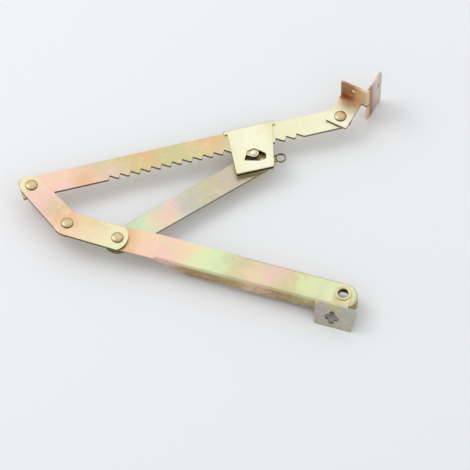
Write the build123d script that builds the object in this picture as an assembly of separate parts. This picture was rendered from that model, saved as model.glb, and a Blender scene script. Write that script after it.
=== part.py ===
from build123d import *
import math
import os

# Adjustable sofa hinge: a slotted ratchet bar folds on a channel arm, and a brace holds it by a
# sliding housing with a pawl. It lies on its back with the linkage parallel to the ground.
# Lengths are in millimetres and angles in degrees. The bar's pivot is the drawing's origin, and
# everything is moved at the end so that the origin is the middle of the footprint.

# Sheet thicknesses
ELBOW_T = 2.5
BAR_T = 2.5
ARM_T = 1.8
BRACE_T = 2.0
HOUSING_T = 1.5
BRACKET_T = 2.0
WASHER_T = 0.8

# Clearances
PIN_FIT = 0.05
FACE_GAP = 0.2
LIFT_GAP = 0.1

# Height of the plane in which elbow and bar meet, above the ground
JOINT_Z = 19.0

# Pivots in plan, from the bar's pivot
ELBOW_CORNER = (30.6, -38.5)
BRACE_PIVOT = (73.5, -53.2)

# Ratchet bar
BAR_ANGLE = 15.05
BAR_W = 20.0
BAR_TAIL = 9.5
BAR_REACH = 272.9
BAR_CORNER_R = 1.5
NOTCHES = 19
FIRST_NOTCH = 67.4
NOTCH_PITCH = 9.17
NOTCH_DEPTH = 4.0
NOTCH_STEEP = 2.0
NOTCH_SLOPE = 5.7

# Elbow plate
ELBOW_BAR_R = 10.3
ELBOW_CORNER_R = 11.7
ELBOW_ARM_W = 24.0
ELBOW_END_REACH = 9.0
ELBOW_END_R = 15.5
ELBOW_INNER_R = 9.0

# Channel arm, measured from the brace pivot along the arm
ARM_ANGLE = -17.2
ARM_W = 24.7
ARM_OFFSET = 3.0
ARM_LENGTH = 199.7
ARM_DEPTH = 13.2
ARM_BEND_R = 2.4
ARM_TAIL_R = 11.0
FRONT_RAMP_START = 35.0
FRONT_RAMP_END = 64.5
BACK_RAMP_START = 104.0
BACK_RAMP_END = 112.0

# Brace
BRACE_W = 22.0

# Ratchet housing, measured along and across the bar
HOUSING_PIVOT = (198.5, -21.5)
HOUSING_TOP = (174.8, 214.5)
HOUSING_BOTTOM = (172.0, 205.0)
HOUSING_EAR = 2.5
HOUSING_EAR_Y = 7.5
HOUSING_DROP = 33.5
HOUSING_CORNER_R = 1.2
HOUSING_FOLD_OVER = 0.6
WINDOW = ((181.6, -22.2), (186.8, -13.2), (193.4, -11.9), (201.6, -19.4), (200.6, -24.8), (194.8, -25.8))

# Pawl and its pin
PAWL_PIN = (192.0, -15.5)
PAWL_PIN_R = 2.2
PAWL_HEAD_R = 2.7
PAWL_HEAD_T = 1.2
PAWL_HUB_R = 4.2
PAWL_NOSE_R = 0.9
PAWL_NOSE = (-6.7, 4.2)
PAWL_HEEL_R = 1.5
PAWL_HEEL = (-6.9, 1.2)

# Pawl spring
WIRE_R = 0.55
COIL_R = 4.1
COIL_AT = (213.3, -25.0)
COIL_PITCH = 1.12
LEG_BEND = (197.2, -24.6)
LEG_BEND_R = 1.5
LEG_END = (185.4, -17.4)
FIXED_LEG = 9.0
FULL_TURNS = 2
LEG_R = 0.48
WIRE_SIDES = 8
LEG_ROOT = 0.3

# Rivets
RIVET_R = 3.0
HEAD_R = 5.2
HEAD_T = 1.7
TAIL_R = 4.6
TAIL_T = 1.2
WASHER_R = 6.4
HEAD_STRAIGHT = 0.35
TAIL_FLAT = 0.8

# Bracket at the bar's end, measured from its rivet
BAR_BRACKET_ANGLE = 61.7
TONGUE_W = 20.0
TONGUE_TAIL = 8.8
TONGUE_REACH = 19.8
LIP_H = 22.0
LIP_SIDE = 16.0
WING_REACH = 46.0
WING_SLANT = 3.0
WING_CORNER_R = 3.0
BRACKET_BEND_R = 2.6
APRON_BEND_R = 1.6
LIP_HOLE_R = 2.5
LIP_HOLE = (-1.5, 14.0)
WING_HOLE_R = 2.8
WING_HOLE = (38.5, 9.0)

# Bracket at the arm's end, measured from its eyelet
EYE_R = 7.75
APRON_GAP = 0.65
APRON_LEFT = 20.6
APRON_RIGHT = 17.0
APRON_TAPER = (1.8, 3.4)
APRON_SPLAY = 22.0
SLOT_LENGTH = 12.5
SLOT_W = 5.2
SLOT_AT = (-4.5, 9.2)
EYELET_BORE_R = 4.4
EYELET_WALL = 0.9
EYELET_RIM_R = 7.0
EYELET_RIM_T = 0.9
EYELET_ROUND = 0.4

# Heights of the layers
BAR_Z = JOINT_Z - BAR_T
ARM_Z = JOINT_Z - ARM_T
BACK_PLATE_Z = BAR_Z - FACE_GAP - HOUSING_T
FRONT_PLATE_Z = JOINT_Z + FACE_GAP
BRACE_Z = BACK_PLATE_Z - LIFT_GAP - BRACE_T
HOLE_R = RIVET_R + PIN_FIT
THROUGH = 200.0


def polar(radius, degrees, origin=(0.0, 0.0)):
    """A point at a distance and direction from an origin."""
    turn = math.radians(degrees)
    return (origin[0] + radius * math.cos(turn), origin[1] + radius * math.sin(turn))


def disc(centre, radius):
    return Pos(*centre) * Circle(radius)


def strip(start, start_r, end, end_r):
    """A bar with round ends of two radii, with straight tangent sides."""
    run = math.dist(start, end)
    heading = math.degrees(math.atan2(end[1] - start[1], end[0] - start[0]))
    spread = math.degrees(math.acos((start_r - end_r) / run))
    sides = Polygon(
        polar(start_r, heading + spread, start),
        polar(start_r, heading - spread, start),
        polar(end_r, heading - spread, end),
        polar(end_r, heading + spread, end),
        align=None,
    )
    return sides + disc(start, start_r) + disc(end, end_r)


def span(low, high):
    """A rectangle between two corners."""
    return Pos((low[0] + high[0]) / 2, (low[1] + high[1]) / 2) * Rectangle(high[0] - low[0], high[1] - low[1])


def block(low, high):
    """A box between two corners."""
    return Pos(*low) * Box(*[b - a for a, b in zip(low, high)], align=(Align.MIN, Align.MIN, Align.MIN))


def plate(outline, z, thickness):
    return Pos(0, 0, z) * extrude(outline, thickness, dir=(0, 0, 1))


def drilled(solid, *holes):
    """Cuts upright round holes, each given as centre and radius."""
    for centre, radius in holes:
        solid -= Pos(centre[0], centre[1], 0) * Cylinder(radius, THROUGH)
    return solid


def turned(points, dome=None):
    """A solid turned about the upright axis from (radius, height) points, with an optional domed top."""
    corners = [(r, 0, z) for r, z in points]
    edges = [Polyline(*corners)]
    if dome:
        rim_r, _, rim_z = corners[-1]
        top = (0, 0, rim_z + dome)
        cap_r = (rim_r**2 + dome**2) / (2 * dome)
        middle = (rim_r / 2, 0, rim_z + dome - cap_r + math.sqrt(cap_r**2 - rim_r**2 / 4))
        edges.append(ThreePointArc(corners[-1], middle, top))
        edges.append(Line(top, corners[0]))
    else:
        edges.append(Line(corners[-1], corners[0]))
    return revolve(make_face(edges), Axis.Z)


def shank(low, high):
    """The half outline of a flattened tail and the shank above it."""
    return [
        (0, low - TAIL_T),
        (TAIL_R * TAIL_FLAT, low - TAIL_T),
        (TAIL_R, low - TAIL_T / 2),
        (TAIL_R, low),
        (RIVET_R, low),
        (RIVET_R, high),
    ]


def rivet(centre, low, high):
    """A rivet with a domed head above and a flattened tail below."""
    head = [(HEAD_R, high), (HEAD_R, high + HEAD_T * HEAD_STRAIGHT)]
    dome = HEAD_T * (1 - HEAD_STRAIGHT)
    return Pos(centre[0], centre[1], 0) * turned(shank(low, high) + head, dome=dome)


def ring(centre, outer, inner, low, high):
    return Pos(centre[0], centre[1], 0) * plate(Circle(outer) - Circle(inner), low, high - low)


def ratchet_bar():
    """The bar along its own axis from its pivot, with saw-tooth notches in its lower edge."""
    half = BAR_W / 2
    outline = span((-BAR_TAIL, -half), (BAR_REACH, half)) + disc((BAR_REACH, 0), half)
    square_end = outline.vertices().sort_by(Axis.X)[:2]
    outline = fillet(square_end, BAR_CORNER_R)
    for index in range(NOTCHES):
        root = FIRST_NOTCH + index * NOTCH_PITCH
        outline -= Polygon(
            (root - NOTCH_STEEP, -half - 1),
            (root - NOTCH_STEEP, -half),
            (root, -half + NOTCH_DEPTH),
            (root + NOTCH_SLOPE, -half),
            (root + NOTCH_SLOPE, -half - 1),
            align=None,
        )
    return drilled(plate(outline, BAR_Z, BAR_T), ((0, 0), HOLE_R), ((BAR_REACH, 0), HOLE_R))


def elbow_plate():
    """The bent flat plate on top, riveted to the arm twice and carrying the bar's pivot."""
    run = math.dist(ELBOW_CORNER, BRACE_PIVOT)
    heading = math.degrees(math.atan2(BRACE_PIVOT[1] - ELBOW_CORNER[1], BRACE_PIVOT[0] - ELBOW_CORNER[0]))
    half = ELBOW_ARM_W / 2
    lower = span((0, -half), (run, half)) + disc((0, 0), half)
    cap = span((run - 1, -half), (run + ELBOW_END_REACH, half))
    lower += cap & disc((run + ELBOW_END_REACH - ELBOW_END_R, 0), ELBOW_END_R)
    outline = Pos(*ELBOW_CORNER) * Rot(0, 0, heading) * lower
    outline += strip((0, 0), ELBOW_BAR_R, ELBOW_CORNER, ELBOW_CORNER_R)
    corner = polar(half * 1.6, heading + 65, ELBOW_CORNER)
    inner = outline.vertices().sort_by_distance((corner[0], corner[1], 0))[0]
    outline = fillet(inner, ELBOW_INNER_R)
    return drilled(
        plate(outline, JOINT_Z, ELBOW_T),
        ((0, 0), HOLE_R),
        (ELBOW_CORNER, HOLE_R),
        (BRACE_PIVOT, HOLE_R),
    )


def arm_frame():
    return Pos(*BRACE_PIVOT) * Rot(0, 0, ARM_ANGLE)


def in_arm(point):
    """A plan point in the arm's own frame."""
    dx = point[0] - BRACE_PIVOT[0]
    dy = point[1] - BRACE_PIVOT[1]
    return polar(math.hypot(dx, dy), math.degrees(math.atan2(dy, dx)) - ARM_ANGLE)


def channel_arm():
    """The pressed arm: flat under the elbow, then a channel with a closed round end."""
    half = ARM_W / 2
    tail = in_arm(ELBOW_CORNER)
    end = (ARM_LENGTH, ARM_OFFSET)
    outline = strip(tail, ARM_TAIL_R, (FRONT_RAMP_START, ARM_OFFSET), half)
    outline += span((FRONT_RAMP_START, ARM_OFFSET - half), (ARM_LENGTH, ARM_OFFSET + half))
    outline += disc(end, half)
    face = plate(outline, ARM_Z, ARM_T)

    channel = span((0, ARM_OFFSET - half), (ARM_LENGTH, ARM_OFFSET + half)) + disc(end, half)
    hollow = span((-ARM_T, ARM_OFFSET - half + ARM_T), (ARM_LENGTH, ARM_OFFSET + half - ARM_T))
    hollow += disc(end, half - ARM_T)
    pan = plate(channel, JOINT_Z - ARM_DEPTH, ARM_DEPTH)
    rim = pan.faces().sort_by(Axis.Z)[-1].edges().filter_by(lambda e: e.center().X > 1)
    pan = fillet(rim, ARM_BEND_R)
    cavity = plate(hollow, JOINT_Z - ARM_DEPTH, ARM_DEPTH - ARM_T)
    roof = cavity.faces().sort_by(Axis.Z)[-1].edges().filter_by(lambda e: e.center().X > 1)
    cavity = fillet(roof, ARM_BEND_R - ARM_T)
    pan -= cavity
    low = JOINT_Z - ARM_DEPTH
    for start, finish, side in (
        (FRONT_RAMP_START, FRONT_RAMP_END, -1),
        (BACK_RAMP_START, BACK_RAMP_END, 1),
    ):
        wedge = Polygon(
            (-5, low - 1), (finish, low - 1), (finish, low), (start, ARM_Z), (-5, ARM_Z), align=None
        )
        cut = extrude(Plane.XZ * wedge, ARM_W, dir=(0, side, 0))
        pan -= Pos(0, ARM_OFFSET, 0) * cut
    flat_zone = block((-THROUGH, -THROUGH, 0), (FRONT_RAMP_START, THROUGH, JOINT_Z))
    flat_zone += block((FRONT_RAMP_START - 1, ARM_OFFSET, 0), (BACK_RAMP_START, THROUGH, JOINT_Z))
    arm = (face & flat_zone) + (pan - flat_zone)
    arm = drilled(
        arm,
        (tail, HOLE_R),
        ((0, 0), HOLE_R),
        (end, EYELET_BORE_R + EYELET_WALL + PIN_FIT),
    )
    return arm_frame() * arm


def bar_frame():
    return Rot(0, 0, BAR_ANGLE)


def in_plan(point):
    """A point along and across the bar, in plan."""
    return polar(math.hypot(*point), math.degrees(math.atan2(point[1], point[0])) + BAR_ANGLE)


def brace_link():
    outline = strip(BRACE_PIVOT, BRACE_W / 2, in_plan(HOUSING_PIVOT), BRACE_W / 2)
    return drilled(
        plate(outline, BRACE_Z, BRACE_T), (BRACE_PIVOT, HOLE_R), (in_plan(HOUSING_PIVOT), HOLE_R)
    )


def window():
    """The punched arch through which the pawl's pin shows."""
    arch = Polygon(*WINDOW, align=None)
    return fillet(arch.vertices(), HOUSING_CORNER_R)


def ratchet_housing():
    """One sheet folded over the bar's upper edge, with the fold left wider than its two plates."""
    cavity_half = (FRONT_PLATE_Z - BACK_PLATE_Z - HOUSING_T) / 2
    middle_z = BACK_PLATE_Z + HOUSING_T + cavity_half
    fold_y = BAR_W / 2 - HOUSING_FOLD_OVER
    outer_half = cavity_half + HOUSING_T
    left = HOUSING_TOP[0] - HOUSING_EAR
    right = HOUSING_TOP[1] + HOUSING_EAR
    outer = span((-HOUSING_DROP, middle_z - outer_half), (fold_y, middle_z + outer_half))
    outer += disc((fold_y, middle_z), outer_half)
    inner = span((-HOUSING_DROP - 1, middle_z - cavity_half), (fold_y, middle_z + cavity_half))
    inner += disc((fold_y, middle_z), cavity_half)
    shell = extrude(Plane.YZ * (outer - inner), right - left, dir=(1, 0, 0))
    shell = Pos(left, 0, 0) * shell
    outline = Polygon(
        (HOUSING_BOTTOM[0], -HOUSING_DROP),
        (HOUSING_TOP[0], HOUSING_EAR_Y),
        (left, HOUSING_EAR_Y),
        (left, BAR_W),
        (right, BAR_W),
        (right, HOUSING_EAR_Y),
        (HOUSING_TOP[1], HOUSING_EAR_Y),
        (HOUSING_BOTTOM[1], -HOUSING_DROP),
        align=None,
    )
    bottom = outline.vertices().sort_by(Axis.Y)[:2]
    outline = fillet(bottom, HOUSING_CORNER_R)
    shell &= plate(outline, 0, THROUGH)
    shell -= plate(window(), middle_z, THROUGH)
    pin_hole = Pos(PAWL_PIN[0], PAWL_PIN[1], BACK_PLATE_Z) * Cylinder(PAWL_PIN_R + PIN_FIT, 2 * HOUSING_T)
    pivot_hole = Pos(HOUSING_PIVOT[0], HOUSING_PIVOT[1], BACK_PLATE_Z) * Cylinder(HOLE_R, 2 * HOUSING_T)
    leg_y = COIL_AT[1] + COIL_R
    leg_slot = block(
        (COIL_AT[0] - FIXED_LEG - WIRE_R, leg_y - WIRE_R - PIN_FIT, 0),
        (COIL_AT[0], leg_y + WIRE_R + PIN_FIT, BACK_PLATE_Z + HOUSING_T),
    )
    return shell - pin_hole - pivot_hole - leg_slot


def pawl():
    """The pawl, swung clear of the notches."""
    nose = (PAWL_PIN[0] + PAWL_NOSE[0], PAWL_PIN[1] + PAWL_NOSE[1])
    heel = (PAWL_PIN[0] + PAWL_HEEL[0], PAWL_PIN[1] + PAWL_HEEL[1])
    outline = strip(PAWL_PIN, PAWL_HUB_R, nose, PAWL_NOSE_R)
    outline += strip(PAWL_PIN, PAWL_HUB_R, heel, PAWL_HEEL_R)
    outline += strip(heel, PAWL_HEEL_R, nose, PAWL_NOSE_R)
    return drilled(plate(outline, BAR_Z, BAR_T), (PAWL_PIN, PAWL_PIN_R + PIN_FIT))


def pawl_pin():
    """A stepped pin, riveted flush in the back plate, with its head in the window."""
    profile = [
        (0, BACK_PLATE_Z),
        (PAWL_PIN_R, BACK_PLATE_Z),
        (PAWL_PIN_R, JOINT_Z + PIN_FIT),
        (PAWL_HEAD_R, JOINT_Z + PIN_FIT),
        (PAWL_HEAD_R, JOINT_Z + PIN_FIT + PAWL_HEAD_T / 2),
    ]
    return Pos(PAWL_PIN[0], PAWL_PIN[1], 0) * turned(profile, dome=PAWL_HEAD_T / 2)


def wire_along(path, radius):
    """A round wire along a path."""
    return sweep(Plane(origin=path @ 0, z_dir=path % 0) * Circle(radius), path=path)


def pawl_spring():
    """A torsion spring: a fixed leg in the back plate, the coil, and a leg under the pawl."""
    low = BACK_PLATE_Z + WIRE_R + PIN_FIT
    first = math.degrees(math.atan2(LEG_BEND[1] - COIL_AT[1], LEG_BEND[0] - COIL_AT[0]))
    leave = first + math.degrees(math.acos(COIL_R / math.dist(LEG_BEND, COIL_AT)))
    turn = 90 - leave + 360 * FULL_TURNS
    rise = COIL_PITCH * turn / 360
    helix = Helix(COIL_PITCH, rise, COIL_R, lefthand=True)
    section = Plane(origin=helix @ 0, z_dir=helix % 0) * RegularPolygon(WIRE_R, WIRE_SIDES)
    coil = sweep(section, path=helix, is_frenet=True)
    start = helix @ 0
    shift = 90 - math.degrees(math.atan2(start.Y, start.X))
    place = Pos(COIL_AT[0], COIL_AT[1], low) * Rot(0, 0, shift)

    # each leg starts inside the coil's wire and leaves through its flat end
    back = (place * Pos(*(helix @ 0))).position
    off = (place * Pos(*(helix @ 1))).position
    bend = Vector(LEG_BEND[0], LEG_BEND[1], off.Z)
    tip = Vector(LEG_END[0], LEG_END[1], off.Z)
    root = off - (bend - off).normalized() * LEG_ROOT
    fixed = wire_along(Line(back + Vector(LEG_ROOT, 0, 0), back - Vector(FIXED_LEG, 0, 0)), LEG_R)
    free = wire_along(FilletPolyline(root, bend, tip, radius=LEG_BEND_R), LEG_R)
    return place * coil + fixed + free


def housing_pivot_rivet():
    """The rivet in the brace's free end, finished flush under the housing."""
    centre = in_plan(HOUSING_PIVOT)
    flush = BRACE_Z + BRACE_T
    return Pos(centre[0], centre[1], 0) * turned(shank(BRACE_Z - WASHER_T, flush) + [(0, flush)])


def bar_bracket():
    """Tongue, upright lip and side wing, folded from one sheet."""
    half = TONGUE_W / 2
    tongue = span((-TONGUE_TAIL, -half), (TONGUE_REACH + 1, half))
    tongue = fillet(tongue.vertices().sort_by(Axis.X)[:2], BAR_CORNER_R)
    tongue = plate(tongue, JOINT_Z, BRACKET_T)
    top = JOINT_Z + LIP_H
    inner = TONGUE_REACH
    outer = inner + BRACKET_T
    # the lip and the wing in plan, with their bend
    fold = span((inner, -LIP_SIDE), (outer, half))
    fold += span((inner, -LIP_SIDE), (WING_REACH, -LIP_SIDE + BRACKET_T))
    bend = fold.vertices().sort_by_distance((inner, -LIP_SIDE, 0))[0]
    fold = fillet(bend, BRACKET_BEND_R)
    walls = plate(fold, 0, top)
    walls -= block((inner - 1, -LIP_SIDE + BRACKET_T, -1), (outer, THROUGH, JOINT_Z))
    side = Polygon(
        (inner, 0), (WING_REACH - WING_SLANT, 0), (WING_REACH, top), (inner, top), align=None
    )
    side = fillet(side.vertices().sort_by(Axis.X)[-2:], WING_CORNER_R)
    side = extrude(Plane.XZ * side, THROUGH, both=True)
    walls &= side
    lip_hole = Pos(inner, LIP_HOLE[0], JOINT_Z + LIP_HOLE[1]) * Rot(0, 90, 0)
    lip_hole *= Cylinder(LIP_HOLE_R, 4 * BRACKET_T)
    wing_hole = Pos(WING_HOLE[0], -LIP_SIDE, JOINT_Z + WING_HOLE[1]) * Rot(90, 0, 0)
    wing_hole *= Cylinder(WING_HOLE_R, 4 * BRACKET_T)
    solid = drilled(tongue, ((0, 0), HOLE_R)) + walls - lip_hole - wing_hole
    place = in_plan((BAR_REACH, 0))
    return Pos(*place) * Rot(0, 0, BAR_BRACKET_ANGLE) * solid


def arm_bracket():
    """A round eye over the arm's end, with an apron folded down in front of the channel."""
    half = ARM_W / 2
    front = -(half + APRON_GAP)
    tongue = disc((0, 0), EYE_R) + span((-EYE_R, front - 0.5), (EYE_R, 0))
    tongue = plate(tongue, JOINT_Z, BRACKET_T)
    lean = math.tan(math.radians(APRON_SPLAY))
    skin = BRACKET_T / math.cos(math.radians(APRON_SPLAY))
    top = JOINT_Z + BRACKET_T
    section = Polygon(
        (front, JOINT_Z),
        (front - JOINT_Z * lean, 0),
        (front - JOINT_Z * lean - skin, 0),
        (front + BRACKET_T * lean - skin, top),
        (front, top),
        align=None,
    )
    apron = extrude(Plane.YZ * section, APRON_LEFT + APRON_RIGHT, dir=(1, 0, 0))
    apron = Pos(-APRON_LEFT, 0, 0) * apron
    bend = apron.edges().filter_by(Axis.X).sort_by_distance((0, front - skin, top))[0]
    apron = fillet(bend, APRON_BEND_R)
    outline = Polygon(
        (-APRON_LEFT, top),
        (-APRON_LEFT + APRON_TAPER[0], 0),
        (APRON_RIGHT - APRON_TAPER[1], 0),
        (APRON_RIGHT, top),
        align=None,
    )
    apron &= extrude(Plane.XZ * outline, THROUGH, both=True)
    cross = Pos(SLOT_AT[0], SLOT_AT[1]) * (
        SlotOverall(SLOT_LENGTH, SLOT_W) + Rot(0, 0, 90) * SlotOverall(SLOT_LENGTH, SLOT_W)
    )
    apron -= extrude(Plane.XZ * cross, 2 * THROUGH, both=True)
    solid = drilled(tongue + apron, ((0, 0), EYELET_BORE_R + EYELET_WALL + PIN_FIT))
    return arm_frame() * Pos(ARM_LENGTH, ARM_OFFSET) * solid


def arm_eyelet():
    """The hollow rivet that holds the arm's bracket and takes a bolt."""
    barrel = EYELET_BORE_R + EYELET_WALL
    low = ARM_Z
    high = JOINT_Z + BRACKET_T
    edge = EYELET_RIM_T * EYELET_ROUND
    profile = [
        (EYELET_BORE_R, low - EYELET_RIM_T + edge),
        (EYELET_BORE_R + edge, low - EYELET_RIM_T),
        (EYELET_RIM_R - edge, low - EYELET_RIM_T),
        (EYELET_RIM_R, low - edge),
        (EYELET_RIM_R, low),
        (barrel, low),
        (barrel, high),
        (EYELET_RIM_R, high),
        (EYELET_RIM_R, high + edge),
        (EYELET_RIM_R - edge, high + EYELET_RIM_T),
        (EYELET_BORE_R + edge, high + EYELET_RIM_T),
        (EYELET_BORE_R, high + EYELET_RIM_T - edge),
    ]
    return arm_frame() * Pos(ARM_LENGTH, ARM_OFFSET) * turned(profile)


def build():
    """Every piece, by name, before the model is centred."""
    bar_end = in_plan((BAR_REACH, 0))
    elbow_top = JOINT_Z + ELBOW_T
    housing_end = in_plan(HOUSING_PIVOT)
    spacer_low = BRACE_Z + BRACE_T
    return {
        "lower_arm": channel_arm(),
        "elbow_plate": elbow_plate(),
        "ratchet_bar": bar_frame() * ratchet_bar(),
        "brace_link": brace_link(),
        "ratchet_housing": bar_frame() * ratchet_housing(),
        "pawl": bar_frame() * pawl(),
        "pawl_pin": bar_frame() * pawl_pin(),
        "pawl_spring": bar_frame() * pawl_spring(),
        "bar_bracket": bar_bracket(),
        "arm_bracket": arm_bracket(),
        "bar_pivot_rivet": rivet((0, 0), BAR_Z - WASHER_T, elbow_top),
        "bar_pivot_washer": ring((0, 0), WASHER_R, HOLE_R, BAR_Z - WASHER_T, BAR_Z),
        "elbow_rivet": rivet(ELBOW_CORNER, ARM_Z, elbow_top),
        "brace_pivot_rivet": rivet(BRACE_PIVOT, BRACE_Z - WASHER_T, elbow_top),
        "brace_spacer": ring(BRACE_PIVOT, WASHER_R, HOLE_R, spacer_low, ARM_Z),
        "brace_washer": ring(BRACE_PIVOT, WASHER_R, HOLE_R, BRACE_Z - WASHER_T, BRACE_Z),
        "housing_pivot_rivet": housing_pivot_rivet(),
        "housing_washer": ring(housing_end, WASHER_R, HOLE_R, BRACE_Z - WASHER_T, BRACE_Z),
        "bar_bracket_rivet": rivet(bar_end, BAR_Z, JOINT_Z + BRACKET_T),
        "arm_eyelet": arm_eyelet(),
    }


def centring(pieces):
    """The move that brings the middle of the footprint to the origin."""
    box = Compound(children=[Compound(piece.solids()) for piece in pieces.values()]).bounding_box()
    return Vector(-(box.min.X + box.max.X) / 2, -(box.min.Y + box.max.Y) / 2, -box.min.Z)


def main():
    os.makedirs("parts", exist_ok=True)
    pieces = build()
    move = centring(pieces)
    for name, piece in pieces.items():
        export_step(Pos(move) * piece, f"parts/{name}.step")
    eyelet = (arm_frame() * Pos(ARM_LENGTH, ARM_OFFSET)).position
    for label, point in {
        "bar pivot": (0, 0),
        "brace pivot": BRACE_PIVOT,
        "bar end": in_plan((BAR_REACH, 0)),
        "housing pivot": in_plan(HOUSING_PIVOT),
        "pawl pin": in_plan(PAWL_PIN),
        "eyelet": (eyelet.X, eyelet.Y),
    }.items():
        print(f"{label}: {point[0] + move.X:.3f} {point[1] + move.Y:.3f}")


if __name__ == "__main__":
    main()
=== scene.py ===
# %% [markdown]
# Adjustable sofa hinge, dressed for a picture.
#
# The hinge is a set of folded and riveted steel strips: a channel arm with a bent elbow plate, a
# notched bar, a brace under both, and a small folded housing with a sprung pawl that slides on the
# bar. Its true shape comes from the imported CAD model, so this script only adds what CAD leaves
# out: the rainbow sheen of yellow zinc plating, soft edges, finely turned rivets and a round wire
# spring. We begin by loading that model. It gives every piece as an object, in metres.

# %% Load the frame
import math

import bpy
import numpy as np
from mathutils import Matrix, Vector


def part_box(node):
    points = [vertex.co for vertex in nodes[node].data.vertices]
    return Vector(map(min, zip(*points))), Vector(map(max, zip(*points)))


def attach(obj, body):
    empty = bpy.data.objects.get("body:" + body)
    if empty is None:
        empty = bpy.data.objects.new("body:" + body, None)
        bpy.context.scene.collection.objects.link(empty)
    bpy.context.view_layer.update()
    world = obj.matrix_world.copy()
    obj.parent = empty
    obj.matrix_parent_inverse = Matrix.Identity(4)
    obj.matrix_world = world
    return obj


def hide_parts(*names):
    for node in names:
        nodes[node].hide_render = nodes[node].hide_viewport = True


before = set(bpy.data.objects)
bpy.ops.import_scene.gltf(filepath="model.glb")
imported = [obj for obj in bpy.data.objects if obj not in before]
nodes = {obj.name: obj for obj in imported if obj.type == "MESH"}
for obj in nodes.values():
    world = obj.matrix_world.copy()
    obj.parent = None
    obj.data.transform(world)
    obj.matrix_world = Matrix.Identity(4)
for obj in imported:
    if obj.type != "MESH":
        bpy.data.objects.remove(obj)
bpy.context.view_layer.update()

MM = 0.001

# %% [markdown]
# The hinge has two long directions, and most patterns follow one of them: the bar and the arm. A
# direction is an angle in plan, and each pivot is the middle of the rivet that the frame already
# holds, so nothing is typed twice.

# %% Pivots and directions


def middle(name):
    """Centre of a node's box, in metres."""
    low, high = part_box(name)
    return (Vector(low) + Vector(high)) / 2


def heights(name):
    """Lowest and highest point of a node, in metres."""
    return tuple(corner[2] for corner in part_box(name))


def heading(start, end):
    """Angle in plan from one point to another, in radians."""
    return math.atan2(end.y - start.y, end.x - start.x)


bar_pivot = middle("bar_pivot_rivet")
bar_end = middle("bar_bracket_rivet")
brace_pivot = middle("brace_pivot_rivet")
brace_end = middle("housing_pivot_rivet")
arm_end = middle("arm_eyelet")
pawl_pivot = middle("pawl_pin")
along_bar = heading(bar_pivot, bar_end)
along_arm = heading(brace_pivot, arm_end)
along_brace = heading(brace_pivot, brace_end)
print("bar at", round(math.degrees(along_bar), 2), "and arm at", round(math.degrees(along_arm), 2))

# %% [markdown]
# A long lens from well above gives the photograph's nearly parallel view. The camera is aimed at
# the point that lies in the middle of the picture, and its distance follows from the width of the
# view that the lens has to cover. Both were fitted until the rivets fell where the photograph has
# them.

# %% Camera
VIEW_ELEVATION = math.radians(57.0)
VIEW_WIDTH = 0.3995
AIM_FROM_PIVOT = Vector((0.173397, -0.051687, 0.0))
AIM_HEIGHT = 0.0232
VIEW_CENTRE = Vector((bar_pivot.x, bar_pivot.y, AIM_HEIGHT)) + AIM_FROM_PIVOT
LENS = 1000.0
SENSOR = 36.0
CLIP_END = 60.0

camera_data = bpy.data.cameras.new("camera")
camera_data.lens = LENS
camera_data.sensor_width = SENSOR
camera_data.clip_end = CLIP_END
camera = bpy.data.objects.new("camera", camera_data)
bpy.context.scene.collection.objects.link(camera)
distance = VIEW_WIDTH * LENS / SENSOR
look = Vector((0.0, math.cos(VIEW_ELEVATION), -math.sin(VIEW_ELEVATION)))
camera.location = VIEW_CENTRE - look * distance
camera.rotation_mode = "QUATERNION"
camera.rotation_quaternion = look.to_track_quat("-Z", "Y")
bpy.context.scene.camera = camera
print("camera at", [round(value, 3) for value in camera.location])

# %% [markdown]
# The floor is one pale sheet. A grid that rises into a curve behind would only show in low views,
# so a flat square that reaches far past the hinge is enough.

# %% Floor
FLOOR_HALF = 6.0
FLOOR_COLOUR = (0.89, 0.89, 0.892, 1.0)
FLOOR_ROUGHNESS = 0.9
FLOOR_SPECULAR = 0.1

floor_mesh = bpy.data.meshes.new("floor")
corners = [(x * FLOOR_HALF, y * FLOOR_HALF, 0.0) for x, y in ((-1, -1), (1, -1), (1, 1), (-1, 1))]
floor_mesh.from_pydata(corners, [], [(0, 1, 2, 3)])
floor = bpy.data.objects.new("floor", floor_mesh)
bpy.context.scene.collection.objects.link(floor)
floor_paint = bpy.data.materials.new("pale_floor")
floor_paint.use_nodes = True
floor_shader = floor_paint.node_tree.nodes["Principled BSDF"]
floor_shader.inputs["Base Color"].default_value = FLOOR_COLOUR
floor_shader.inputs["Roughness"].default_value = FLOOR_ROUGHNESS
floor_shader.inputs["Specular IOR Level"].default_value = FLOOR_SPECULAR
floor_mesh.materials.append(floor_paint)
print("floor is", 2 * FLOOR_HALF, "m square")

# %% [markdown]
# Bright metal shows its surroundings, so the light is made of large soft things: a pale sky from
# the world, a key softbox high on the left, a weak fill at the front right, and a larger softbox
# high behind the hinge. The key gives the soft shadows, which fall to the lower right, and the
# back one is what the flat faces mirror, so they stay bright without being washed out.

# %% Light
WORLD_STRENGTH = 0.72
SKY_COLOUR = (0.96, 0.98, 1.0, 1.0)
# each softbox is its place, its size in metres and its power in watts
SOFTBOXES = {
    "key": ((-1.05, 0.5, 1.45), 1.0, 8.0),
    "fill": ((1.2, -0.6, 1.2), 1.0, 1.5),
    "back": ((0.15, 1.25, 1.7), 1.7, 5.0),
}

world = bpy.data.worlds.new("studio")
bpy.context.scene.world = world
world.use_nodes = True
sky = world.node_tree.nodes["Background"]
sky.inputs["Color"].default_value = SKY_COLOUR
sky.inputs["Strength"].default_value = WORLD_STRENGTH


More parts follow.
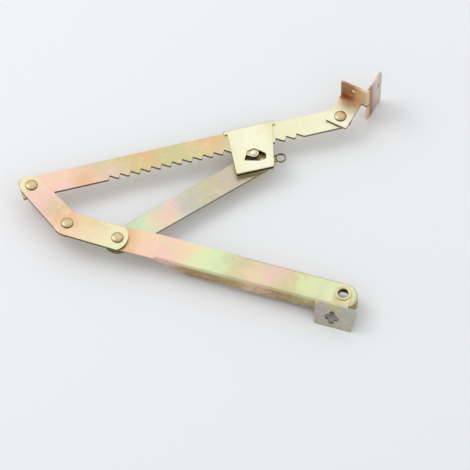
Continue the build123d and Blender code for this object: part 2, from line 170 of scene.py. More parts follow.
def softbox(name, place, size, power):
    """A square area lamp at a place, facing the middle of the view."""
    lamp = bpy.data.lights.new(name, "AREA")
    lamp.size = size
    lamp.energy = power
    box = bpy.data.objects.new(name, lamp)
    bpy.context.scene.collection.objects.link(box)
    box.visible_camera = False
    box.location = place
    box.rotation_mode = "QUATERNION"
    box.rotation_quaternion = (VIEW_CENTRE - Vector(place)).to_track_quat("-Z", "Y")
    print("softbox", name, "of", power, "W")


for lamp_name, (lamp_place, lamp_size, lamp_power) in SOFTBOXES.items():
    softbox(lamp_name, lamp_place, lamp_size, lamp_power)
bpy.context.scene.view_settings.view_transform = "Standard"

# %% [markdown]
# Yellow zinc plating is a film thinner than the wavelengths of light, so its colour changes with
# its thickness: straw, orange, pink and a faint green lie next to each other in drifting clouds.
# Painting this could be done with an image, but a procedural material stays sharp at any distance.
# One function builds it. Colour stops run along the piece, a slow noise bends them into clouds,
# ragged patches add single colours, a finer noise adds mottling, and a noise stretched along the
# rolling direction gives the brushed grain. Cut edges, told by their height in the sheet, are
# darker, and the same dark band, set at other heights, is painted shade in the housing, in the
# eyelet's bore and under the rivets' crowns. Below a fold the colour can fade to another, which on
# the arm's flanges and the housing's back plate is painted shade. First come the film's colours,
# and a small class that keeps node recipes short.

# %% Colours and node recipes
STRAW = (0.68, 0.60, 0.31)
PALE = (0.78, 0.74, 0.46)
# palest tint, partly plating and partly a painted highlight where the pieces catch the light
CREAM_AND_HIGHLIGHT = (0.86, 0.84, 0.64)
ORANGE = (0.74, 0.45, 0.23)
TAN = (0.60, 0.50, 0.29)
OLIVE = (0.58, 0.54, 0.27)
PEACH = (0.84, 0.60, 0.43)
PINK = (0.80, 0.52, 0.47)
MINT = (0.62, 0.74, 0.47)
LIME = (0.72, 0.78, 0.42)
SAGE = (0.48, 0.53, 0.43)
GREY = (0.50, 0.47, 0.43)
MAUVE = (0.52, 0.43, 0.45)
# a dark brown painted shade for the bar bracket's standing lip
LIP_SHADE = (0.42, 0.19, 0.09)
BROWN = (0.30, 0.17, 0.08)
# the darkest tint: cut edges, the wire, and painted shade in the housing, the eyelet and under rivet
# crowns
EDGE = (0.11, 0.075, 0.035)
# painted shade for the arm's upright flanges
FLANGE_SHADE = (0.42, 0.28, 0.13)
# painted shade for the housing's back plate, under its front plate
UNDER_FOLD_SHADE = (0.44, 0.42, 0.26)
APRON = (0.46, 0.44, 0.33)


class Nodes:
    """Adds nodes to a material and links them, to keep the recipes short."""

    def __init__(self, name):
        self.material = bpy.data.materials.new(name)
        self.material.use_nodes = True
        self.tree = self.material.node_tree
        self.shader = self.tree.nodes["Principled BSDF"]

    def add(self, kind, inputs=None, **settings):
        """A node whose inputs are numbers or other nodes' sockets."""
        node = self.tree.nodes.new(kind)
        for key, value in settings.items():
            setattr(node, key, value)
        for key, value in (inputs or {}).items():
            if isinstance(value, bpy.types.NodeSocket):
                self.tree.links.new(value, node.inputs[key])
            else:
                node.inputs[key].default_value = value
        return node

    def maths(self, operation, first, second):
        """Sum, difference or product of two values."""
        return self.add("ShaderNodeMath", {0: first, 1: second}, operation=operation).outputs[0]

    def spread(self, value, low, high, out_low=0.0, out_high=1.0):
        """Maps low..high to out_low..out_high with soft ends."""
        inputs = {"Value": value, "From Min": low, "From Max": high}
        inputs |= {"To Min": out_low, "To Max": out_high}
        node = self.add("ShaderNodeMapRange", inputs, interpolation_type="SMOOTHSTEP")
        return node.outputs["Result"]

    def blend(self, factor, first, second, mode="MIX"):
        """Mixes or multiplies two colours, each a triple or a socket."""
        node = self.add("ShaderNodeMix", data_type="RGBA", blend_type=mode, clamp_factor=True)
        for key, value in (("Factor_Float", factor), ("A_Color", first), ("B_Color", second)):
            socket = next(s for s in node.inputs if s.identifier == key)
            if isinstance(value, bpy.types.NodeSocket):
                self.tree.links.new(value, socket)
            elif key == "Factor_Float":
                socket.default_value = value
            else:
                socket.default_value = (*value, 1.0)
        return next(s for s in node.outputs if s.identifier == "Result_Color")

    def ramp(self, value, stops, kind="B_SPLINE"):
        """Colour that follows a value over stops of (place, colour)."""
        node = self.add("ShaderNodeValToRGB", {"Fac": value})
        node.color_ramp.interpolation = kind
        elements = node.color_ramp.elements
        while len(elements) < len(stops):
            elements.new(0.5)
        for element, (place, colour) in zip(elements, stops):
            element.position = place
            element.color = (*colour, 1.0)
        return node.outputs["Color"]

    def noise(self, vector, scale, detail, rough, distortion=0.0):
        """Value between 0 and 1 that wanders over space."""
        inputs = {"Vector": vector, "Scale": scale, "Detail": detail}
        inputs |= {"Roughness": rough, "Distortion": distortion}
        return self.add("ShaderNodeTexNoise", inputs).outputs["Fac"]


print("palest tint", CREAM_AND_HIGHLIGHT, "and darkest", EDGE)

# %% [markdown]
# The plating itself is one long recipe from coarse to fine. Each layer lies over the one before
# it, and all of them read the piece's own coordinates, so the film stays on the metal when a joint
# turns.

# %% The plating
# each noise is its scale, detail, roughness and, where it has any, distortion
CLOUDS = (42.0, 3.0, 0.55, 0.6)
WISPS = (85.0, 5.0, 0.65, 1.2)
MOTTLE = (120.0, 4.0, 0.62, 0.4)
GRAIN = (1.0, 3.0, 0.6)
SPECKS = (900.0, 2.0, 0.5)
GRAIN_LENGTH, GRAIN_WIDTH = 20.0 * MM, 0.9 * MM
GRAIN_SHADES = [(0.3, (0.70, 0.70, 0.70)), (0.7, (1.0, 1.0, 1.0))]
GRAIN_SHARE = 0.16
# each spread maps the range of its first two numbers to that of its last two
PATCH_SPREAD = (1.5, 0.1, 0.0, 0.75)
MINT_SPREAD = (0.52, 0.74, 0.0, 0.38)
PEACH_SPREAD = (0.48, 0.27, 0.0, 0.42)
SPECK_SPREAD = (0.70, 0.80, 0.0, 0.35)
GRAIN_ROUGH = (0.3, 0.7, 0.30, 0.42)
MOTTLE_ROUGH = (0.3, 0.7, -0.03, 0.05)
PATCH_RAGS = 3.0
SCRATCH_DEPTH, SWELL_DEPTH = 0.06 * MM, 1.2 * MM
EDGE_AND_SHADE_SHARE, EDGE_AND_SHADE_DEPTH = 0.88, 0.14 * MM
EDGE_FADE = 0.02
METALLIC, SPECULAR = 0.85, 0.4


def plating(
    name, stops, start, angle, length,
    faces=None, drift=0.10, below=None, patches=(), kind="B_SPLINE", edge_end=None,
):
    """Yellow zinc plating whose colour stops run from start along angle for a length.

    faces is two heights, and between them the colour is dark: on a sheet this is its cut edge, and
    on the housing, the rivets and the eyelet it is painted shade. below is (height, depth, colour)
    for what hangs under a fold, whose colour fades to the given one under that height; on the
    arm's flanges and the housing's back plate that is painted shade. patches are clouds of one
    colour, each (along, across, radius, colour) in millimetres from start. kind is how the stops
    are joined.
    edge_end is how far along the dark cut edge runs, where a fold ends it.
    """
    n = Nodes(name)
    coords = n.add("ShaderNodeTexCoord").outputs["Object"]
    frame_inputs = {"Vector": coords, "Location": start, "Rotation": (0, 0, angle), "Scale": (length,) * 3}
    local = n.add("ShaderNodeMapping", frame_inputs, vector_type="TEXTURE").outputs["Vector"]
    split = n.add("ShaderNodeSeparateXYZ", {"Vector": local}).outputs
    height = n.add("ShaderNodeSeparateXYZ", {"Vector": coords}).outputs["Z"]

    # slow clouds shift the stops along the piece and across it
    clouds = n.noise(coords, *CLOUDS)
    shift = n.maths("MULTIPLY", n.maths("SUBTRACT", clouds, 0.5), drift * 2)
    colour = n.ramp(n.maths("ADD", split["X"], shift), stops, kind)

    if below:
        level, depth, deep = below
        colour = n.blend(n.spread(height, level, level - depth), colour, deep)

    # patches of one colour with ragged rims
    ragged = n.maths("MULTIPLY", n.maths("SUBTRACT", n.noise(coords, *WISPS), 0.5), PATCH_RAGS)
    flat = n.add("ShaderNodeVectorMath", {0: local, 1: (1.0, 1.0, 0.0)}, operation="MULTIPLY").outputs[0]
    for along, across, radius, patch in patches:
        centre = (along * MM / length, across * MM / length, 0.0)
        away = n.add("ShaderNodeVectorMath", {0: flat, 1: centre}, operation="DISTANCE").outputs["Value"]
        reach = n.maths("ADD", n.maths("MULTIPLY", away, length / (radius * MM)), ragged)
        colour = n.blend(n.spread(reach, *PATCH_SPREAD), colour, patch)

    # finer mottling towards pink and towards green
    mottle = n.noise(coords, *MOTTLE)
    colour = n.blend(n.spread(mottle, *MINT_SPREAD), colour, MINT)
    colour = n.blend(n.spread(mottle, *PEACH_SPREAD), colour, PEACH)

    # brushed grain along the piece
    grain_scale = (length / GRAIN_LENGTH, length / GRAIN_WIDTH, length / GRAIN_WIDTH)
    grain_vector = n.add("ShaderNodeMapping", {"Vector": local, "Scale": grain_scale}).outputs["Vector"]
    grain = n.noise(grain_vector, *GRAIN)
    colour = n.blend(GRAIN_SHARE, colour, n.ramp(grain, GRAIN_SHADES), "MULTIPLY")

    # the dark band between two heights: a sheet's cut edge, and painted shade on the housing, the rivets
    # and the eyelet
    if faces:
        low, high = faces
        under_top = n.spread(height, high, high - EDGE_AND_SHADE_DEPTH)
        over_bottom = n.spread(height, low, low + EDGE_AND_SHADE_DEPTH)
        inside = n.maths("MULTIPLY", under_top, over_bottom)
        if edge_end:
            inside = n.maths("MULTIPLY", inside, n.spread(split["X"], edge_end + EDGE_FADE, edge_end))
        colour = n.blend(inside, colour, n.blend(EDGE_AND_SHADE_SHARE, colour, EDGE))

    # small dark specks
    specks = n.noise(coords, *SPECKS)
    colour = n.blend(n.spread(specks, *SPECK_SPREAD), colour, BROWN)
    n.tree.links.new(colour, n.shader.inputs["Base Color"])

    # roughness follows the grain and the mottling, with shallow scratches and broad swells
    rough = n.maths("ADD", n.spread(grain, *GRAIN_ROUGH), n.spread(mottle, *MOTTLE_ROUGH))
    n.tree.links.new(rough, n.shader.inputs["Roughness"])
    n.shader.inputs["Metallic"].default_value = METALLIC
    n.shader.inputs["Specular IOR Level"].default_value = SPECULAR
    scratches = {"Height": grain, "Strength": 0.10, "Distance": SCRATCH_DEPTH}
    bump = n.add("ShaderNodeBump", scratches).outputs[0]
    swells = {"Height": clouds, "Strength": 0.2, "Distance": SWELL_DEPTH, "Normal": bump}
    n.tree.links.new(n.add("ShaderNodeBump", swells).outputs[0], n.shader.inputs["Normal"])
    print(name, "has", len(n.tree.nodes), "nodes")
    return n.material


# %% [markdown]
# A CAD piece arrives as loose flat triangles with knife edges. Real sheet has edges rubbed round
# by tumbling in the plating drum. Four modifiers give that without touching the mesh. A weld joins
# the triangles, and a dissolve makes one polygon of each flat face. A node group then shades
# smooth what meets at a shallow angle. The bevel rounds the sharp edges last, and keeps the flat
# faces' own normals, because otherwise long streaks of shade cross them.

# %% Soft edges for the CAD pieces
SMOOTH_ANGLE = math.radians(20.0)
FLAT_ANGLE = math.radians(0.5)
SHARP_ANGLE = math.radians(40.0)
WELD_REACH = 0.002 * MM
BEVEL_ROWS = 2
SHEET_EDGE, THIN_EDGE, SMALL_EDGE, PIN_EDGE = 0.25 * MM, 0.2 * MM, 0.15 * MM, 0.1 * MM


def smoothing_group():
    """Geometry nodes that shade smooth, except over edges steeper than the smoothing angle."""
    group = bpy.data.node_groups.new("smooth_faces", "GeometryNodeTree")
    group.interface.new_socket("Geometry", in_out="INPUT", socket_type="NodeSocketGeometry")
    group.interface.new_socket("Geometry", in_out="OUTPUT", socket_type="NodeSocketGeometry")
    make, link = group.nodes.new, group.links.new
    start, end = make("NodeGroupInput"), make("NodeGroupOutput")
    faces, edges = make("GeometryNodeSetShadeSmooth"), make("GeometryNodeSetShadeSmooth")
    edges.domain = "EDGE"
    edges.inputs["Shade Smooth"].default_value = False
    angle, steep = make("GeometryNodeInputMeshEdgeAngle"), make("FunctionNodeCompare")
    steep.data_type = "FLOAT"
    steep.operation = "GREATER_THAN"
    steep.inputs["B"].default_value = SMOOTH_ANGLE
    link(angle.outputs["Unsigned Angle"], steep.inputs["A"])
    link(start.outputs[0], faces.inputs["Geometry"])
    link(faces.outputs["Geometry"], edges.inputs["Geometry"])
    link(steep.outputs["Result"], edges.inputs["Selection"])
    link(edges.outputs["Geometry"], end.inputs[0])
    return group


smooth_faces = smoothing_group()
print("edges of over", round(math.degrees(SMOOTH_ANGLE)), "degrees stay sharp")


def soften(piece, width):
    """Weld, flatten, smooth and bevel a piece, in that order."""
    weld = piece.modifiers.new("weld", "WELD")
    weld.merge_threshold = WELD_REACH
    flatten = piece.modifiers.new("flat faces", "DECIMATE")
    flatten.decimate_type = "DISSOLVE"
    flatten.angle_limit = FLAT_ANGLE
    smooth = piece.modifiers.new("smooth", "NODES")
    smooth.node_group = smooth_faces
    bevel = piece.modifiers.new("rubbed edges", "BEVEL")
    bevel.width = width
    bevel.segments = BEVEL_ROWS
    bevel.limit_method = "ANGLE"
    bevel.angle_limit = SHARP_ANGLE
    bevel.harden_normals = True


def dress(name, material, width=SHEET_EDGE):
    """Gives a CAD piece its plating and its soft edges."""
    piece = nodes[name]
    piece.data.materials.clear()
    piece.data.materials.append(material)
    soften(piece, width)
    print(name, "is dressed, with edges of", round(width / MM, 2), "mm")


# %% [markdown]
# The ratchet bar is a notched strip. It is peach and pink by its pivot, under the elbow plate, and
# turns through olive and tan to a pale cream at the far end, partly its plating and partly a
# painted highlight.

# %% The bar's plating
bar_stops = [
    (0.0, PEACH), (0.10, PINK), (0.19, PINK), (0.26, OLIVE), (0.34, OLIVE),
    (0.44, TAN), (0.54, STRAW), (0.62, TAN), (0.74, PALE), (1.0, CREAM_AND_HIGHLIGHT),
]
bar_patches = (
    (30, 4, 14, PEACH), (46, -5, 12, ORANGE), (72, -6, 13, PINK),
    (100, 6, 15, ORANGE), (128, -4, 16, OLIVE), (158, 4, 12, ORANGE),
)
bar_plating = plating(
    "bar_plating", bar_stops, bar_pivot, along_bar, (bar_end - bar_pivot).length,
    heights("ratchet_bar"), patches=bar_patches,
)
dress("ratchet_bar", bar_plating)

# %% [markdown]
# The elbow plate is rosy along its short limb and pale by the brace's pivot, with a little lime at
# both ends. The stops run past both pivots, because the plate does.

# %% The elbow's plating
ELBOW_BEFORE = Vector((-0.010, 0.004, 0.0))
ELBOW_BEYOND = 1.08
elbow_stops = [
    (0.0, LIME), (0.13, PEACH), (0.30, PINK), (0.50, PEACH),
    (0.68, PEACH), (0.84, PALE), (0.96, PALE), (1.0, LIME),
]
elbow_start = bar_pivot + ELBOW_BEFORE
elbow_run = (brace_pivot - elbow_start).length * ELBOW_BEYOND
elbow_patches = ((28, -9, 16, PINK), (42, -5, 12, TAN), (56, -8, 14, ORANGE), (74, 4, 12, STRAW))
elbow_plating = plating(
    "elbow_plating", elbow_stops, elbow_start, heading(elbow_start, brace_pivot), elbow_run,
    heights("elbow_plate"), patches=elbow_patches,
)
dress("elbow_plate", elbow_plating)

# %% [markdown]
# The arm is a pressed channel. Its face runs from orange and peach by the brace's pivot through
# lime and mint to tan, and is mint and pale again at the eyelet. Its flanges, below the fold, are
# painted a darker orange brown, which is painted shade on their upright faces.

# %% The arm's plating
# under the fold the arm's colour fades to a painted shade on its upright flanges
ARM_FOLD, ARM_FADE = 0.8 * MM, 1.6 * MM
arm_stops = [
    (0.0, ORANGE), (0.10, PEACH), (0.24, PEACH), (0.34, LIME), (0.52, MINT),
    (0.66, STRAW), (0.80, TAN), (0.92, MINT), (1.0, PALE),
]
arm_patches = (
    (10, 2, 12, ORANGE), (30, 5, 16, PEACH), (44, -5, 16, PINK), (56, 4, 10, PEACH),
    (110, 2, 20, TAN), (124, -4, 14, PEACH), (140, 5, 14, PINK), (168, 0, 14, LIME),
)
arm_plating = plating(
    "arm_plating", arm_stops, brace_pivot, along_arm, (arm_end - brace_pivot).length,
    below=(heights("lower_arm")[1] - ARM_FOLD, ARM_FADE, FLANGE_SHADE), patches=arm_patches,
)
dress("lower_arm", arm_plating)

# %% [markdown]
# The brace has the greyest film: mint and grey green bands with pink clouds over them, and straw
# by the housing.

# %% The brace's plating
brace_stops = [
    (0.0, MINT), (0.20, SAGE), (0.38, MINT), (0.56, SAGE), (0.72, GREY), (0.86, TAN), (1.0, STRAW),
]
brace_patches = (
    (30, 0, 14, MINT), (46, -4, 13, PEACH), (58, 3, 15, PINK), (72, -2, 14, GREY), (92, 2, 16, TAN),
)
brace_plating = plating(
    "brace_plating", brace_stops, brace_pivot, along_brace, (brace_end - brace_pivot).length,
    heights("brace_link"), patches=brace_patches,
)
dress("brace_link", brace_plating)

# %% [markdown]
# The housing is folded from thinner sheet and is painted palest, cream in the middle, which is
# partly its plating and partly a painted highlight. What lies between its two plates is dark with
# painted shade, and the back plate, under the front one, fades to a painted shade. The pawl and
# its pin share the finish of the bar and of the housing.

# %% The housing's plating
HOUSING_SPAN = 0.045
HOUSING_BEFORE = Vector((-0.022, 0.0, 0.0))
# between these heights the housing is painted dark: painted shade between its two plates
HOUSING_INSIDE_SHADE = (16.2 * MM, 19.3 * MM)
# below this height the housing fades to a painted shade, under its front plate
SHADE_BELOW, SHADE_FADE = 19.0 * MM, 2.4 * MM
housing_stops = [(0.0, PALE), (0.35, CREAM_AND_HIGHLIGHT), (0.55, CREAM_AND_HIGHLIGHT), (0.8, CREAM_AND_HIGHLIGHT), (1.0, PALE)]
housing_plating = plating(
    "housing_plating", housing_stops, middle("ratchet_housing") + HOUSING_BEFORE, along_bar, HOUSING_SPAN,
    HOUSING_INSIDE_SHADE, drift=0.08, below=(SHADE_BELOW, SHADE_FADE, UNDER_FOLD_SHADE),
)
dress("ratchet_housing", housing_plating, THIN_EDGE)
dress("pawl", bar_plating, SMALL_EDGE)
dress("pawl_pin", housing_plating, PIN_EDGE)

# %% [markdown]
# The bar's bracket is folded from one sheet: a tongue on the bar, a lip and a wing. Its stops run
# along the tongue and out over the wing, and turn from cream, partly a painted highlight, through
# a dark brown painted shade where the lip stands, to mauve, pink and sage on the wing.

# %% The bar bracket's plating
BRACKET_TURN = math.radians(61.7)
BRACKET_LENGTH = 0.046
TONGUE_FACES = (19.0 * MM, 21.0 * MM)
TONGUE_END = 0.42
bracket_stops = [
    (0.0, CREAM_AND_HIGHLIGHT), (0.22, PALE), (0.35, PEACH), (0.39, ORANGE), (0.41, LIP_SHADE),
    (0.485, LIP_SHADE), (0.53, MAUVE), (0.66, PINK), (0.80, SAGE), (1.0, PINK),
]
bracket_plating = plating(
    "bar_bracket_plating", bracket_stops, bar_end, along_bar + BRACKET_TURN, BRACKET_LENGTH,
    TONGUE_FACES, drift=0.012, kind="LINEAR", edge_end=TONGUE_END,
)
dress("bar_bracket", bracket_plating)

# %% [markdown]
# The arm's bracket is straw on its eye, and its apron, which hangs from a fold, is a violet grey
# in patches.

# %% The arm bracket's plating
APRON_LENGTH = 0.03
APRON_FOLD, APRON_FADE = 1.2 * MM, 2.0 * MM
apron_stops = [(0.0, STRAW), (0.5, PALE), (1.0, STRAW)]
apron_patches = ((-12, -17, 9, MAUVE), (-2, -15, 8, OLIVE), (6, -18, 8, GREY), (14, -15, 8, SAGE))
apron_plating = plating(
    "arm_bracket_plating", apron_stops, arm_end, along_arm, APRON_LENGTH,
    below=(heights("arm_bracket")[1] - APRON_FOLD, APRON_FADE, APRON), patches=apron_patches,
)
dress("arm_bracket", apron_plating)

# %% [markdown]
# Rivets and the eyelet are round, so their shape is a profile spun about an upright axis. It could
# be done with a screw modifier, but numpy makes the whole surface at once and leaves nothing to
# apply: rows follow the profile, columns go round.

# %% Turned surfaces
ROUND = 72


def grid_quads(rows, columns, closed_rows=False):
    """Quads over a grid whose columns close round, and whose rows may close too."""
    count = rows if closed_rows else rows - 1
    row, column = np.meshgrid(np.arange(count), np.arange(columns), indexing="ij")
    after, above = (column + 1) % columns, (row + 1) % rows
    low_row, high_row = row * columns, above * columns
    quads = [low_row + column, low_row + after, high_row + after, high_row + column]
    return np.stack(quads, -1).reshape(-1, 4)


def mesh_piece(name, verts, quads, material, caps=()):
    """A smooth mesh object at the origin from arrays of vertices and quads."""
    mesh = bpy.data.meshes.new(name)
    mesh.from_pydata(verts.tolist(), [], quads.tolist() + [list(cap) for cap in caps])
    mesh.materials.append(material)
    mesh.shade_smooth()
    mesh.update()
    piece = bpy.data.objects.new(name, mesh)
    bpy.context.scene.collection.objects.link(piece)
    print(name, "has", len(mesh.polygons), "faces")
    return piece


def spun(profile):
    """Grid of points: each (r, z) of the profile goes round to (r cos a, r sin a, z)."""
    radius, level = profile[:, 0], profile[:, 1]
    angle = np.linspace(0.0, 2 * np.pi, ROUND, endpoint=False)
    across, back = np.outer(radius, np.cos(angle)), np.outer(radius, np.sin(angle))
    return np.stack([across, back, np.repeat(level[:, None], ROUND, 1)], -1).reshape(-1, 3)


def turned(name, profile, centre, material):
    """Solid of revolution: a profile (r, z) spun about the upright axis through the centre.

    The profile starts and ends on the axis, from low to high, and the poles are single points.
    """
    profile = np.array(profile, dtype=float)
    count = len(profile) - 2
    poles = np.array([[0.0, 0.0, profile[0, 1]], [0.0, 0.0, profile[-1, 1]]])
    verts = np.vstack([spun(profile[1:-1]), poles]) + np.array([centre.x, centre.y, 0.0])
    ring = np.arange(ROUND)
    after = (ring + 1) % ROUND
    top = (count - 1) * ROUND
    fans = np.vstack([
        np.stack([after, ring, np.full(ROUND, count * ROUND)], -1),
        np.stack([top + ring, top + after, np.full(ROUND, count * ROUND + 1)], -1),
    ])
    return mesh_piece(name, verts, grid_quads(count, ROUND), material, fans.tolist())


def arc(centre, radii, start, end, count=10):
    """Points of an elliptic arc in the profile, angles in degrees."""
    angle = np.radians(np.linspace(start, end, count))
    return list(zip(centre[0] + radii[0] * np.cos(angle), centre[1] + radii[1] * np.sin(angle)))


# %% [markdown]
# A rivet's head is a low dome with a rolled rim and a slight dish left by the setting tool, and
# its tail is a flatter button. Each head has its own plating, so that its pattern is centred on
# it: tan, orange and straw, with a dark rim below the crown that is a painted shadow. The washers
# and the hidden rivet share one plating.

# %% Rivets
HEAD_T, HEAD_ROUND = 1.7 * MM, 0.5 * MM
HEAD_CHAMFER = 0.1 * MM
SHANK_R = 3.0 * MM
TAIL_R, TAIL_T = 4.6 * MM, 1.2 * MM
TAIL_WIDE, TAIL_TALL = 0.9 * MM, 0.6 * MM
TAIL_DISH = ((0.0, 0.15), (2.0, 0.05))
# points over the head: share of its radius, and millimetres below its top
CROWN = ((0.72, 0.28), (0.5, 0.05), (0.3, 0.0), (0.15, 0.04), (0.0, 0.06))
RIM_DROP = 0.62 * MM
RIVET_SPAN, RIVET_DRIFT = 0.01, 0.4
# each rivet seen from above, and the body that it rides on
RIVETS = {
    "bar_pivot_rivet": "arm",
    "elbow_rivet": "arm",
    "brace_pivot_rivet": "arm",
    "bar_bracket_rivet": "bar",
}
HIDDEN = ("bar_pivot_washer", "brace_spacer", "brace_washer", "housing_washer", "housing_pivot_rivet")
rivet_stops = [(0.0, TAN), (0.4, ORANGE), (0.6, TAN), (1.0, STRAW)]


def rivet_profile(low, high, head_r):
    """Half section (r, z) of a headed rivet, from the middle of its tail to that of its head."""
    seat = high - HEAD_T
    profile = [(r * MM, low + rise * MM) for r, rise in TAIL_DISH]
    profile += arc((TAIL_R - TAIL_WIDE, low + TAIL_TALL), (TAIL_WIDE, TAIL_TALL), -90, 0)
    profile += [(TAIL_R, low + TAIL_T), (SHANK_R, low + TAIL_T)]
    profile += [(SHANK_R, seat), (head_r - HEAD_CHAMFER, seat)]
    profile += arc((head_r - HEAD_ROUND, seat + HEAD_ROUND), (HEAD_ROUND, HEAD_ROUND), -60, 70, 8)
    return profile + [(share * head_r, high - drop * MM) for share, drop in CROWN]


rivet_plating = plating("rivet_plating", rivet_stops, bar_pivot, along_bar, RIVET_SPAN, drift=RIVET_DRIFT)
for name, body in RIVETS.items():
    rivet_low, rivet_high = [Vector(corner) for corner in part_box(name)]
    # the head is painted dark from its seat to just under the crown: a painted shadow on its rim
    shade = (rivet_high.z - HEAD_T - RIM_DROP, rivet_high.z - RIM_DROP)
    finish = plating(
        name + "_plating", rivet_stops, middle(name), along_bar, RIVET_SPAN, shade, drift=RIVET_DRIFT
    )
    profile = rivet_profile(rivet_low.z, rivet_high.z, (rivet_high.x - rivet_low.x) / 2)
    piece = turned(name + "_turned", profile, middle(name), finish)
    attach(piece, body)
    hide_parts(name)
for name in HIDDEN:
    dress(name, rivet_plating, SMALL_EDGE)

# %% [markdown]
# The hollow rivet at the arm's end is a tube whose two rims are rolled outwards. Its section is a
# closed loop, so the spun surface closes on itself and needs no poles. All of it but its top is
# painted dark, as shade in its bore.

# %% The eyelet


def hollow_turned(name, profile, centre, material):
    """Ring of revolution: a closed loop of points (r, z) spun about the upright axis."""
    profile = np.array(profile, dtype=float)
    verts = spun(profile) + np.array([centre.x, centre.y, 0.0])
    return mesh_piece(name, verts, grid_quads(len(profile), ROUND, closed_rows=True), material)


BORE_R, BARREL_R = 4.4 * MM, 5.3 * MM
RIM_T = 0.9 * MM
ROLL = (RIM_T / 2, RIM_T / 2)
FLARE = (RIM_T, RIM_T)
# how far below the top the eyelet's painted shade begins
BORE_SHADE_DROP = 0.4 * MM
eyelet_low, eyelet_high = [Vector(corner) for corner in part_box("arm_eyelet")]
bottom, top = eyelet_low.z, eyelet_high.z
roll_r = (eyelet_high.x - eyelet_low.x) / 2 - ROLL[0]
loop = [(BORE_R, bottom + ROLL[1])]
loop += arc((BORE_R + ROLL[0], bottom + ROLL[1]), ROLL, 190, 270, 6)
loop += arc((roll_r, bottom + ROLL[1]), ROLL, -90, 90, 10)
loop += [(BARREL_R, bottom + RIM_T), (BARREL_R, top - RIM_T)]
loop += arc((roll_r, top - ROLL[1]), ROLL, -90, 90, 10)
loop += arc((BORE_R + FLARE[0], top - FLARE[1]), FLARE, 100, 180, 8)
eyelet_plating = plating(
    "eyelet_plating", [(0.0, STRAW), (1.0, PALE)], arm_end, along_bar, RIVET_SPAN,
    (bottom, top - BORE_SHADE_DROP), drift=RIVET_DRIFT,
)
eyelet = hollow_turned("arm_eyelet_turned", loop, arm_end, eyelet_plating)
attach(eyelet, "arm")
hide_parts("arm_eyelet")

# %% [markdown]
# The pawl's spring is a length of round wire. A tube along a path is a circle carried on a frame
# of two directions across the path. The wire is nearly level everywhere, so the upright direction
# serves as one guide for the frame, and the whole tube is worked out at once. A curve with a bevel
# would need to be made a mesh afterwards.

# %% A tube along a path
SIDES = 16
BALL = np.radians(np.linspace(1.0, 75.0, 5))


def tube(name, path, radius, material):
    """Round wire: path point + r (cos a side + sin a up), with side across the path and level.

    The ends are closed by rows whose radius shrinks to nothing over a half ball.
    """
    ahead = np.gradient(path, axis=0)
    ahead /= np.linalg.norm(ahead, axis=1)[:, None]
    first = path[0] - ahead[0] * (radius * np.cos(BALL))[:, None]
    last = path[-1] + ahead[-1] * (radius * np.cos(BALL[::-1]))[:, None]
    path = np.vstack([first, path, last])
    rows = len(BALL)
    ahead = np.vstack([np.repeat(ahead[:1], rows, 0), ahead, np.repeat(ahead[-1:], rows, 0)])
    wide = np.full(len(path) - 2 * rows, radius)
    girth = np.concatenate([radius * np.sin(BALL), wide, radius * np.sin(BALL[::-1])])
    side = np.cross([0.0, 0.0, 1.0], ahead)
    side /= np.linalg.norm(side, axis=1)[:, None]
    up = np.cross(ahead, side)
    angle = np.linspace(0.0, 2 * np.pi, SIDES, endpoint=False)
    rim = side[:, None] * np.cos(angle)[None, :, None] + up[:, None] * np.sin(angle)[None, :, None]
    verts = (path[:, None] + rim * girth[:, None, None]).reshape(-1, 3)
    quads = grid_quads(len(path), SIDES)
    caps = [list(range(SIDES))[::-1], list(range(len(verts) - SIDES, len(verts)))]
    return mesh_piece(name, verts, quads, material, caps)


# %% [markdown]
# The spring has a short leg that lies in the housing, a coil beside it and a longer leg that
# reaches under the pawl. Its path is laid out in millimetres along and across the bar, where it is
# easy to read, and turned into place at the end.

# %% The spring
WIRE_R = 0.55 * MM
COIL_R = 4.1 * MM
COIL_PITCH = 1.12 * MM
COIL_POINTS, LEG_POINTS = 150, 12
# places along and across the bar, in millimetres from its pivot
COIL_CENTRE = np.array([213.3, -25.0])
LEG_BEND = np.array([197.2, -24.6])
LEG_TIP = np.array([185.4, -17.4])
FIXED_LEG, COIL_GAP = 9.0, 0.3
# shares of the two straight runs that the bend takes up
BEND_IN, BEND_OUT = 0.12, 0.14


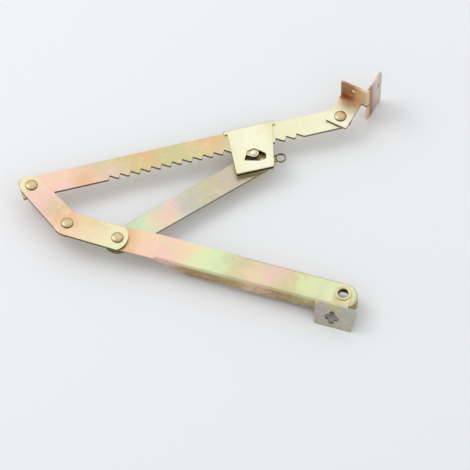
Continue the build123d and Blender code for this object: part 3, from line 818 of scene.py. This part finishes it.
def on_bar(along, across):
    """Points in plan, in metres, from millimetres along and across the bar."""
    c, s = math.cos(along_bar), math.sin(along_bar)
    x = bar_pivot.x + (along * c - across * s) * MM
    y = bar_pivot.y + (along * s + across * c) * MM
    return np.stack([x, y], -1)


# the free leg leaves the coil along its tangent towards the bend
coil_r = COIL_R / MM
away = LEG_BEND - COIL_CENTRE
leave = math.atan2(away[1], away[0]) + math.acos(coil_r / np.linalg.norm(away))
turn = np.linspace(math.pi / 2, leave - 4 * math.pi, COIL_POINTS)
coil = COIL_CENTRE + coil_r * np.stack([np.cos(turn), np.sin(turn)], -1)
leg = np.linspace(-FIXED_LEG, -COIL_GAP, LEG_POINTS)
fixed_leg = COIL_CENTRE + np.stack([leg, np.full(LEG_POINTS, coil_r)], -1)

# its bend is a quadratic curve between the two straight runs
run_in = LEG_BEND + (coil[-1] - LEG_BEND) * BEND_IN
run_out = LEG_BEND + (LEG_TIP - LEG_BEND) * BEND_OUT
share = np.linspace(0.04, 1.0, 14)[:, None]
step = np.linspace(0.0, 1.0, 8)[:, None]
curve = (1 - step) ** 2 * run_in + 2 * step * (1 - step) * LEG_BEND + step**2 * run_out
first_run = coil[-1] + (run_in - coil[-1]) * share[:-1]
last_run = run_out + (LEG_TIP - run_out) * share
free_leg = np.vstack([first_run, curve, last_run])

# the wire rises by one pitch in each turn of the coil
low_z = heights("pawl_spring")[0] + WIRE_R
high_z = low_z + COIL_PITCH * (turn[0] - turn[-1]) / (2 * math.pi)
coil_z = np.linspace(low_z, high_z, COIL_POINTS)
plan = np.vstack([fixed_leg, coil, free_leg])
wire_z = np.concatenate([np.full(LEG_POINTS, low_z), coil_z, np.full(len(free_leg), high_z)])
wire_path = np.column_stack([on_bar(plan[:, 0], plan[:, 1]), wire_z])
wire_stops = [(0.0, EDGE), (0.4, BROWN), (0.7, EDGE), (1.0, BROWN)]
wire_plating = plating("wire_plating", wire_stops, pawl_pivot, along_bar, 0.03, drift=0.3)
spring = tube("pawl_spring_wire", wire_path, WIRE_R, wire_plating)
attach(spring, "housing")
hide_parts("pawl_spring")
print("the wire's middle runs from z", round(low_z / MM, 2), "to", round(high_z / MM, 2), "mm")
